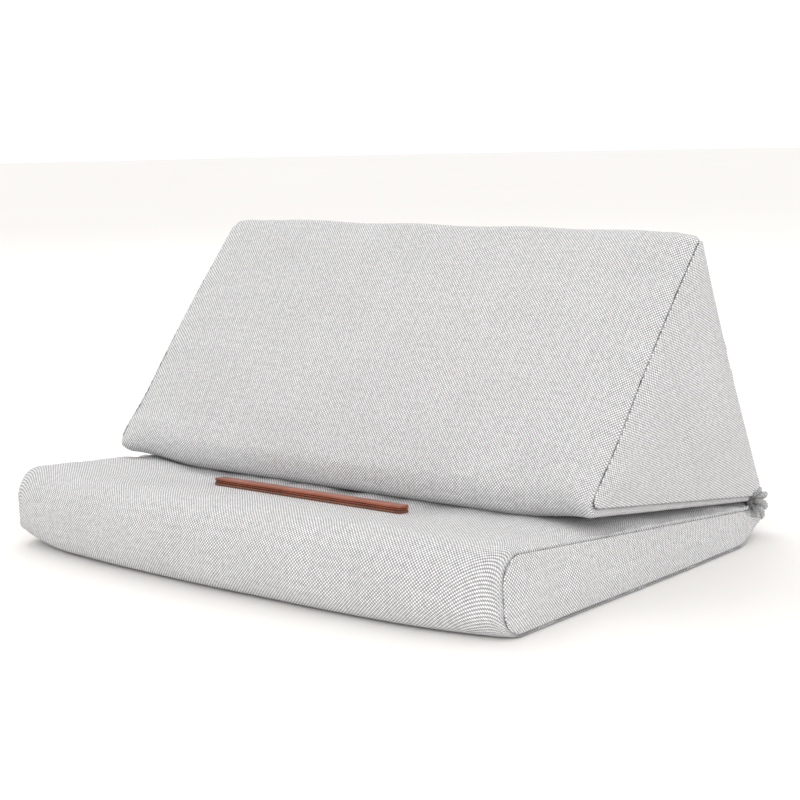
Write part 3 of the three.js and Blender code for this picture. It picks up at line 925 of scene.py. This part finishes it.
def stitches(name, centres, directions, length, thickness, material, body):
    """Short rounded lengths of thread, one at each centre, lying along its direction."""
    points, faces = [], []
    turns = np.linspace(0, 2 * math.pi, STITCH_SIDES, endpoint=False)
    quads = lattice_quads(len(STITCH_RINGS), STITCH_SIDES).reshape(-1, 4)
    for centre, direction in zip(centres, unit(np.asarray(directions, float))):
        side = unit(np.cross(direction, SIDEWAYS))
        up = np.cross(direction, side)
        first = len(points)
        for along, width in STITCH_RINGS:
            for turn in turns:
                spoke = (side * math.cos(turn) + up * math.sin(turn)) * width * thickness / 2
                points.append(centre + direction * along * length + spoke)
        faces += (quads + first).tolist()
        for sign, row in ((-1, first), (1, len(points) - STITCH_SIDES)):
            tip = len(points)
            points.append(centre + direction * sign * length / 2)
            for k in range(STITCH_SIDES):
                edge = (row + k, row + (k + 1) % STITCH_SIDES)
                faces.append((*edge[::sign], tip))
    dress(mesh_object(name, np.array(points), faces), material, body)


def evenly(ring, pitch):
    """Places every pitch round a ring of points, and the way the ring runs there."""
    line = np.concatenate([ring, ring[:1]])
    lengths = run_lengths(line)
    at = np.arange(pitch / 2, lengths[-1], pitch)
    places, ahead = (along_line(line, lengths, distances) for distances in (at, at + 0.05))
    return places, unit(ahead - places)


SEAM_PITCH = 2.4


def seam_thread(prefix, outline, side, swell):
    """The seam's stitches, which slant across it."""
    ring, way = evenly(outline.points(HALF_WIDTH, -0.8), SEAM_PITCH)
    outward = np.column_stack([way[:, 1], -way[:, 0]])
    jitter = RNG.uniform(-0.15, 0.15, len(ring))
    centres = swell(at_x(side * (HALF_WIDTH + 0.1), ring + way * jitter[:, None]))
    directions = at_x(side * 1.0, way * 0.45 - outward * 0.45)
    name = f"{prefix}_{SIDE_NAMES[side]}_seam_thread"
    stitches(name, centres, directions, 1.15, 0.3, SEAM_THREAD, prefix)


# ---- the cushions' own shapes ----
BASE_ZIP_PLACE = np.array([BASE_REAR + BASE_CROWNS[1], BASE_ZIP_RISE])


def wedge_back():
    """The rear corner of the wedge's middle section, and the way from it up the back face, as (y, z)."""
    _, rear, apex = wedge_corners(0)[:, :2]
    return rear, unit(apex - rear)


def wedge_zip_place():
    rear, up = wedge_back()
    return rear + up * WEDGE_ZIP_RISE


def base_wrap_folds(points):
    """Folds at the rear corners, where the gathered hinge pulls on the cover, and a dip under the stop."""
    x, y, z = np.moveaxis(points, -1, 0)
    near_end = ramp(np.abs(x), 132, 22)
    folds = 1.1 * fan_folds(y, z) * near_end * ramp(HALF_WIDTH - np.abs(x), 0, 2.0)
    return folds - STOP_SINK * near_stop(points, 28.0)


def ridge_tuck(points):
    """1 in the small tuck beside each end panel's tip, falling to 0 round it."""
    x, y, z = np.moveaxis(points, -1, 0)
    from_seam = HALF_WIDTH - np.abs(x)
    across = y - WEDGE_APEX[0] - 0.9 - 0.35 * from_seam
    return bell(across, 1.4) * bell(from_seam, 5.0) * ramp(z, 150, 8)


def wedge_wrap_folds(points):
    return -1.4 * ridge_tuck(points)


CORNER_START = 98.0  # where the base's end begins to turn in to its rear corner


def base_end_shape(flat, depth):
    """The face turns in towards the rear, past a soft upright fold, and the hinge's folds cross it."""
    y, z = flat.T
    fall = -2.2 * ramp(y, CORNER_START, 24)
    fold = -0.75 * bell(y - CORNER_START - 0.06 * z, 2.0)
    ridge = 0.55 * bell(y - CORNER_START + 5.5, 3.0)
    return (fall + fold + ridge + 0.9 * fan_folds(y, z)) * ramp(depth, 0, 3.5)


def wedge_end_shape(flat, depth):
    """The wedge's end panels have no shape of their own."""
    return 0.0


LEFT_OUT = 4.3  # how much further the base's left end stands out
LEFT_UP = (2.3, 3.3)  # how much higher it stands, in front and behind
LEFT_CURL = 3.2  # rise of the underside at the left end
RIGHT_FOOT = (3.6, 6.0)  # how much further out the foot of the right end stands, in front and behind
RIGHT_TOE = 3.5  # how much further forward the foot of the front stands towards the right
FOOT_LIP = 2.2  # how far the roll under the right foot's seam stands out
REAR_CURL = 8.6  # rise of the underside at the rear corners
REAR_CURL_LENGTH = 40.0
NOSE_LIFT = (5.2, -1.2)  # how far the wedge's ends lift off the base, at the nose and at the rear
SEAM_LIFT = (1.2, -0.8)  # what the seam's roll adds to that
NOSE_LIFT_HEIGHT = 45.0


def base_rise(x, y, z, upper):
    """The left end stands higher, and the underside curls up at the left end and at both rear corners."""
    up = between(LEFT_UP, ramp(y, -100, 50)) * (1 - 0.75 * ramp(y, -10, 80))
    curl = LEFT_CURL * ramp(-x, 118, 40)
    rear = REAR_CURL * ramp(y, BASE_REAR - REAR_CURL_LENGTH, REAR_CURL_LENGTH) * ramp(np.abs(x), 134, 20)
    return up * ramp(-x, 95, 60) * upper + (curl + rear) * (1 - ramp(z, 0, 16))


def base_swell(points):
    """The base's points where its stuffing puts them. Its left end is fuller than its right one, except round
    the zip behind. The foot of the right end and of the front stands out past the top."""
    x, y, z = np.moveaxis(points, -1, 0)
    upper = ramp(z / base_top(y), 0, 1)
    left = LEFT_OUT * ramp(-x, 95, 60) * (1 - ramp(y, 88, 32))
    lower = 1 - upper
    foot = between(RIGHT_FOOT, ramp(y, -105, 150)) * ramp(x, 140, 17) * lower * (1 - 0.7 * ramp(y, 85, 42))
    lip = FOOT_LIP * (1 - ramp(z, 0, 0.9)) * ramp(x, 147, 8)
    lip *= ramp(y, BASE_FRONT + 2, 10) * (1 - ramp(y, 95, 15))
    toe = RIGHT_TOE * ramp(x, 10, 120) * (1 - ramp(y, BASE_FRONT, 60)) * lower
    return points + np.stack([foot + lip - left, -toe, base_rise(x, y, z, upper)], -1)


def wedge_swell(points):
    """The wedge's underside curls up at its ends, most of all at the nose."""
    x, y, z = np.moveaxis(points, -1, 0)
    back = np.clip((y - WEDGE_NOSE) / (WEDGE_REAR - WEDGE_NOSE), 0, 1)
    rise = between(NOSE_LIFT, back) * ramp(np.abs(x), 105, 50)
    rise += between(SEAM_LIFT, back) * roll_at(x, WEDGE_ROLL_WIDTH)
    rise *= 1 - ramp(z - base_top(y) - WEDGE_LIFT, 0, NOSE_LIFT_HEIGHT)
    return points + np.stack([0 * x, 0 * x, rise], -1)


def build_cushion(prefix, outline, zip_place, puff, folds, bulge, grain, end_shape, swell):
    """puff and bulge are how far the wrap and the end panels swell, and grain turns the end panels' weave."""
    wrap(prefix, outline, zip_place, puff, folds, swell)
    for side in (-1, 1):
        panel(prefix, outline, side, grain, bulge, end_shape, swell)
        seam_thread(prefix, outline, side, swell)
    foam(prefix, outline, swell)


# ---- hinge web ----
# The gathered web's section in the middle of the stand, as (y, z): from its seam on the base, out behind the
# stand and up to its seam on the wedge.
WEB_MIDDLE = ((123.6, 17.0), (126.6, 18.3), (129.4, 17.6), (130.2, 19.4), (128.4, 21.0), (130.4, 22.6),
              (130.6, 24.4), (128.3, 25.6), (129.4, 27.2), (128.6, 29.4), (125.4, 31.4))
# At the ends the pleats open into a fan of petals round this centre, with a crease on each side of a petal.
# A crease is its angle from straight back and its depth, as a share of the fan's reach there.
WEB_CENTRE = np.array([113.5, 18.2])
WEB_CREASES = ((-172.0, 0.3), (-128.0, 0.4), (-90.0, 0.55), (-52.0, 0.38), (-29.0, 0.6), (-5.0, 0.34),
               (25.0, 0.6), (58.0, 0.36), (116.0, 0.5))
# How far the fan reaches at angles from straight back.
WEB_REACH = ((-172.0, 13.2), (-150.0, 11.6), (-122.0, 10.6), (-90.0, 11.2), (-68.0, 12.2), (-50.0, 14.4),
             (-30.0, 17.8), (-13.0, 17.6), (10.0, 16.6), (37.0, 11.6), (60.0, 9.8), (84.0, 7.8), (116.0, 5.4))
WEB_FAN_CLOTH = 95.0  # how much cloth is gathered into the fan
WEB_SWIRL = 0.7  # turn of the petals' inner ends, in radians
WEB_PLEATS = (0.55, 7, 17)  # height, shortest and longest wave of the gathers, and of the finer ones on them
WEB_FINE_PLEATS = (0.35, 4, 8)
WEB_CREASE_SINK = 3.0  # how far the creases between the petals are drawn in
PETAL_STEPS = 14
# Past the end seams the petals close on the centre: (x, how much of their reach is left).
WEB_GATHER = ((158.2, 1.0), (158.9, 0.96), (159.4, 0.87), (159.6, 0.76), (159.4, 0.63), (158.8, 0.49),
              (157.8, 0.35), (156.4, 0.22), (155.0, 0.12))
WEB_HALF_WIDTH = 157.6
WEB_STATIONS = 180
WEB_STEPS = PETAL_STEPS * (len(WEB_CREASES) - 1) + 1
WEB_CLOTH = 0.8


def fan_outline():
    """The web's section at its ends, and how far each point is sunk in a fold between petals, from 0 to 1."""
    creases = np.array(WEB_CREASES)
    steps = np.arange(WEB_STEPS) / PETAL_STEPS
    angles, depths = (np.interp(steps, np.arange(len(creases)), column) for column in creases.T)
    sunk = 1 - np.abs(np.sin(np.pi * steps)) ** 0.36
    reach = np.interp(angles, *np.transpose(WEB_REACH)) * (1 - depths * sunk)
    turns = np.radians(angles)
    return WEB_CENTRE + np.column_stack([np.cos(turns), np.sin(turns)]) * reach[:, None], sunk


def rounded_path(controls, count):
    """Points evenly spaced on a smooth curve through the controls."""
    p = np.array(controls, float)
    p = np.concatenate([[2 * p[0] - p[1]], p, [2 * p[-1] - p[-2]]])
    made = []
    for a, b, c, d in zip(p, p[1:], p[2:], p[3:]):
        for t in np.linspace(0, 1, 12, endpoint=False):
            made.append(0.5 * (2 * b + (c - a) * t + (2 * a - 5 * b + 4 * c - d) * t**2
                               + (3 * b - a - 3 * c + d) * t**3))
    line = np.array(made + [p[-2]])
    lengths = run_lengths(line)
    return along_line(line, lengths, np.linspace(0, lengths[-1], count)), lengths[-1]


def web_stations():
    """For each section of the web: its x, how much of its reach is left, and how far it is a fan."""
    straight = [(x, 1.0) for x in np.linspace(-WEB_HALF_WIDTH, WEB_HALF_WIDTH, WEB_STATIONS)]
    stations = np.array([(-x, size) for x, size in WEB_GATHER[::-1]] + straight + list(WEB_GATHER))
    xs, size = stations.T[:, :, None]
    share = ramp(np.abs(xs), 138, 18)
    share[: len(WEB_GATHER)] = share[-len(WEB_GATHER) :] = 1.0
    return xs, size, share


def pleats(xs, size):
    """How far the web's gathers lift it. Its two seams hold it still."""
    t = np.linspace(0, 1, WEB_STEPS)
    gathers = [height * Waves(shortest, longest).at(xs, t * stretch)
               for (height, shortest, longest), stretch in ((WEB_PLEATS, 14), (WEB_FINE_PLEATS, 5))]
    return sum(gathers) * np.sin(np.pi * t) ** 0.6 * size


def web_threads(rows, lengths, cloth):
    """Thread counts over the web: along X, and along a section, which takes up so much cloth."""
    steps = np.linalg.norm(np.diff(rows, axis=0), axis=2).mean(axis=1)
    x = np.concatenate([[0], np.cumsum(steps)])[:, None]
    along = (lengths / lengths[:, -1:] - 0.5) * cloth
    return np.stack(np.broadcast_arrays(x, along), -1) / THREAD_PITCH


def web_painted_shade(sections, sunk, share):
    """Painted shade in the web's deep folds behind the stand, and over the fan, deepest in its folds and at
    its centre.
    """
    deep = 0.75 * (1 - ramp(sections[..., 0], 123.4, 5.0))
    distance = np.linalg.norm(sections - WEB_CENTRE, axis=2)
    deep_fan = 0.28 + 0.72 * np.maximum(1 - ramp(distance, 3.5, 6), sunk**0.8)
    return between((deep, deep_fan), share)


def hinge_web():
    middle, middle_length = rounded_path(WEB_MIDDLE, WEB_STEPS)
    ends, sunk = fan_outline()
    xs, size, share = web_stations()
    sections = between((middle, ends), share[..., None]) - WEB_CENTRE
    sections = WEB_CENTRE + turned(sections, WEB_SWIRL * (1 - size)) * size[..., None]
    along = np.gradient(sections, axis=1)
    outward = unit(np.stack([along[..., 1], -along[..., 0]], -1))
    sections = sections + outward * pleats(xs, size)[..., None]
    across = xs - np.sign(xs) * WEB_CREASE_SINK * ramp(np.abs(xs), 150, 8) * sunk * size
    rows = np.concatenate([across[..., None], sections], -1)
    lengths = np.stack([run_lengths(row) for row in rows])
    threads = web_threads(rows, lengths, between((middle_length, WEB_FAN_CLOTH), share))
    faces = lattice_quads(*rows.shape[:2], closed=False).reshape(-1, 4)
    painted_shade = web_painted_shade(sections, sunk, share)
    obj = mesh_object("hinge_web_cloth", rows.reshape(-1, 3), faces, at_corners(threads), painted_shade.ravel())
    thicken(obj, WEB_CLOTH)
    dress(obj, COVER, None, ["hinge_web"])
    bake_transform(obj)


# ---- leather stop ----
STOP_LEAN = math.atan(TOP_SLOPE)
STOP_EDGE = 0.26  # rounding of a strap's edges
STOP_CLIP = 0.45  # how far its corners are clipped


def strap_size(low, high, inset):
    """Length, depth and thickness of the slab that fills this box when it leans by the base's slope."""
    c, s = math.cos(STOP_LEAN), abs(math.sin(STOP_LEAN))
    tall, deep = high[2] - low[2], high[1] - low[1]
    depth = (deep * c - tall * s) / (c * c - s * s)
    thickness = (tall * c - deep * s) / (c * c - s * s)
    return high[0] - low[0] - 2 * inset, depth - 2 * inset, thickness


def strap_outline(x, y, length, depth, ripple):
    """Where a strap has a point of a grid one unit across: clipped at its corners, not quite straight."""
    at_end, at_side = abs(x) > 0.499, abs(y) > 0.499
    x, y = x * length, y * depth
    if at_end and at_side:
        x -= math.copysign(STOP_CLIP, x)
        y -= math.copysign(STOP_CLIP, y)
    elif at_end:
        x += 0.12 * math.sin(y * 1.7)
    return x, y + (0.08 * float(ripple.at(x)) if at_side else 0.0)


def strap(name, node, material, inset):
    """One layer of the stop: a leather strap with rounded edges."""
    low, high = box_mm(node)
    length, depth, thickness = strap_size(low, high, inset)
    bm = bmesh.new()
    bmesh.ops.create_grid(bm, x_segments=124, y_segments=8, size=0.5)
    ripple = Waves(18, 60)
    for v in bm.verts:
        v.co = (*strap_outline(v.co.x, v.co.y, length, depth, ripple), thickness / 2)
    lower = bmesh.ops.extrude_face_region(bm, geom=list(bm.faces))
    for v in (g for g in lower["geom"] if isinstance(g, bmesh.types.BMVert)):
        v.co.z -= thickness
    bmesh.ops.recalc_face_normals(bm, faces=bm.faces)
    mesh = bpy.data.meshes.new(name)
    bm.to_mesh(mesh)
    bm.free()
    centre = (low + high) / 2 - np.array([0, 0, STOP_SINK])
    mesh.transform(Matrix.Translation(centre * MM) @ Matrix.Rotation(STOP_LEAN, 4, "X") @ Matrix.Scale(MM, 4))
    mesh.polygons.foreach_set("use_smooth", [True] * len(mesh.polygons))
    obj = placed(name, mesh)
    soften_edges(obj, STOP_EDGE, 4)
    dress(obj, material, "base", [node])


def stop_thread():
    """The row of stitches that sews the stop down, along the foot of its front face."""
    y = STOP_LOW[1] + 0.02
    z = base_top(y) + BASE_CROWNS[2] + 0.75 - STOP_SINK
    centres = np.array([(x, y, z) for x in np.arange(STOP_LOW[0] + 3, STOP_HIGH[0] - 2, 2.4)])
    directions = np.tile((1.0, 0.0, 0.12), (len(centres), 1))
    stitches("stop_stitching", centres, directions, 1.6, 0.4, STOP_THREAD, "base")


def leather_stop():
    strap("stop_bottom_strap", "stop_bottom_leather", LEATHER_OCHRE, 0.0)
    strap("stop_middle_strap", "stop_middle_leather", LEATHER_RED, 0.08)
    strap("stop_top_strap", "stop_top_leather", LEATHER_TAN, 0.0)
    stop_thread()


# ---- zips ----
TOOTH_PITCH = 1.3
TOOTH_WIRE = 0.52
TOOTH_STEPS = 10
SPIRAL_MIDDLE = 0.72  # a spiral's middle from the zip's middle
SPIRAL_HALF = (1.02, 0.42)  # its half width and half height
SPIRAL_FLATNESS = 0.7  # power of its rounding: below 1 is squarer


def zip_axes(node):
    """A coil's middle, the way down the face that it is in, and the way out of that face."""
    centre = sum(box_mm(node)) / 2
    y, z = (0.0, 1.0) if node.startswith("base") else wedge_back()[1]
    return centre, np.array([0, -y, -z]), np.array([0, z, -y])


def teeth(prefix):
    """Two interlocked flattened spirals of nylon wire, one sewn to each tape."""
    node = f"{prefix}_coil"
    centre, down, out = zip_axes(node)
    low, high = box_mm(node)
    half = (high[0] - low[0]) / 2 - TOOTH_WIRE
    turns = int(2 * half / TOOTH_PITCH)
    curve = bpy.data.curves.new(f"{prefix}_teeth", "CURVE")
    curve.dimensions = "3D"
    curve.bevel_depth = TOOTH_WIRE / 2 * MM
    curve.bevel_resolution = 2
    curve.use_fill_caps = True
    for side in (-1, 1):
        t = np.arange(turns * TOOTH_STEPS) / TOOTH_STEPS
        x = -half + (t + (0.25 if side > 0 else 0.0)) * TOOTH_PITCH
        c, s = np.cos(2 * math.pi * t), np.sin(2 * math.pi * t)
        reach = side * (SPIRAL_MIDDLE - SPIRAL_HALF[0] * np.sign(c) * np.abs(c) ** SPIRAL_FLATNESS)
        rise = SPIRAL_HALF[1] * s
        path = centre + np.outer(x, (1.0, 0, 0)) + np.outer(reach, down) + np.outer(rise, out)
        spline = curve.splines.new("POLY")
        spline.points.add(len(path) - 1)
        spline.points.foreach_set("co", np.column_stack([path * MM, np.ones(len(path))]).ravel())
    return placed(f"{prefix}_teeth", curve)


ZIP_FINISHES = {"upper_tape": TAPE, "lower_tape": TAPE, "left_end_stop": METAL, "right_end_stop": METAL,
                "slider": METAL, "pull": METAL}


def zip_closure(prefix, body):
    dress(teeth(prefix), NYLON, body, [f"{prefix}_coil"])
    for part, material in ZIP_FINISHES.items():
        node = dress(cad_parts[f"{prefix}_{part}"], material, None)
        soften_edges(node, 0.12 if material is TAPE else 0.22)
    top_stitching(prefix, body)


def top_stitching(prefix, body):
    """A row of stitches on the cover, above the zip, and one below it where there is room."""
    centre, down, out = zip_axes(f"{prefix}_coil")
    outline, sides = (BASE_OUTLINE, (-1,)) if body == "base" else (WEDGE_OUTLINE, (-1, 1))
    centres = []
    for side in sides:
        aim = (centre - out * 0.6 + down * side * (ZIP_SLOT_HALF + 2.2))[1:]
        for x in np.arange(-ZIP_SLOT_END + 1, ZIP_SLOT_END, 3.1):
            section = outline.points(x)
            nearest = section[np.argmin(np.linalg.norm(section - aim, axis=1))]
            centres.append((x, *(aim + out[1:] * ((nearest - aim) @ out[1:]))))
    directions = np.tile((1.0, 0, 0), (len(centres), 1))
    name = f"{prefix}_top_stitching"
    stitches(name, np.array(centres), directions, 2.2, 0.36, SEAM_THREAD, body)


# ---- studio ----
CAMERA_PLACE = (0.5905, -0.7188, 0.2256)
CAMERA_AZIMUTH, CAMERA_PITCH, CAMERA_ROLL = 38.84, 9.15, -1.17
LENS = 80.2
LIGHT_TARGET = Vector((0, 0, 0.05))
WORLD_STRENGTH = 1.14
FLOOR_RADIUS = 9.0


def camera():
    turns = ((CAMERA_AZIMUTH, "Z"), (90 - CAMERA_PITCH, "X"), (CAMERA_ROLL, "Z"))
    yaw, tilt, roll = (Matrix.Rotation(math.radians(angle), 4, axis) for angle, axis in turns)
    data = bpy.data.cameras.new("camera")
    data.lens = LENS
    data.sensor_width = 36
    obj = placed("camera", data)
    obj.matrix_world = Matrix.Translation(CAMERA_PLACE) @ yaw @ tilt @ roll
    bpy.context.scene.camera = obj


def area_light(name, place, size, power, colour):
    """A square light that faces the stand."""
    data = bpy.data.lights.new(name, "AREA")
    data.size = size
    data.energy = power
    data.color = colour
    facing = (LIGHT_TARGET - Vector(place)).to_track_quat("-Z", "Y")
    light = placed(name, data)
    light.matrix_world = Matrix.Translation(place) @ facing.to_matrix().to_4x4()


def studio():
    scene = bpy.context.scene
    scene.view_settings.view_transform = "Standard"
    world = bpy.data.worlds.new("studio")
    scene.world = world
    world.use_nodes = True
    background = world.node_tree.nodes["Background"]
    background.inputs["Color"].default_value = (1.0, 0.99, 0.98, 1.0)
    background.inputs["Strength"].default_value = WORLD_STRENGTH
    area_light("key", (-1.1, 0.6, 1.6), size=1.6, power=10.0, colour=(1.0, 0.98, 0.96))
    area_light("fill", (1.5, -1.5, 0.7), size=1.4, power=18.0, colour=(1.0, 1.0, 1.0))
    round_floor()


def round_floor():
    """A pale floor, a hair below the stand's foot."""
    bm = bmesh.new()
    bmesh.ops.create_circle(bm, cap_ends=True, segments=96, radius=FLOOR_RADIUS)
    bmesh.ops.translate(bm, verts=bm.verts, vec=(0, 0, -0.0001))
    mesh = bpy.data.meshes.new("floor")
    bm.to_mesh(mesh)
    bm.free()
    floor = dress(placed("floor", mesh), floor_material(), None)


camera()
build_cushion("base", BASE_OUTLINE, BASE_ZIP_PLACE, puff=0.9, folds=base_wrap_folds, bulge=1.6, grain=0.0,
              end_shape=base_end_shape, swell=base_swell)
build_cushion("wedge", WEDGE_OUTLINE, wedge_zip_place(), puff=1.1, folds=wedge_wrap_folds, bulge=2.0,
              grain=WEDGE_GRAIN, end_shape=wedge_end_shape, swell=wedge_swell)
hinge_web()
leather_stop()
zip_closure("base_zip", "base")
zip_closure("wedge_zip", "wedge")
studio()
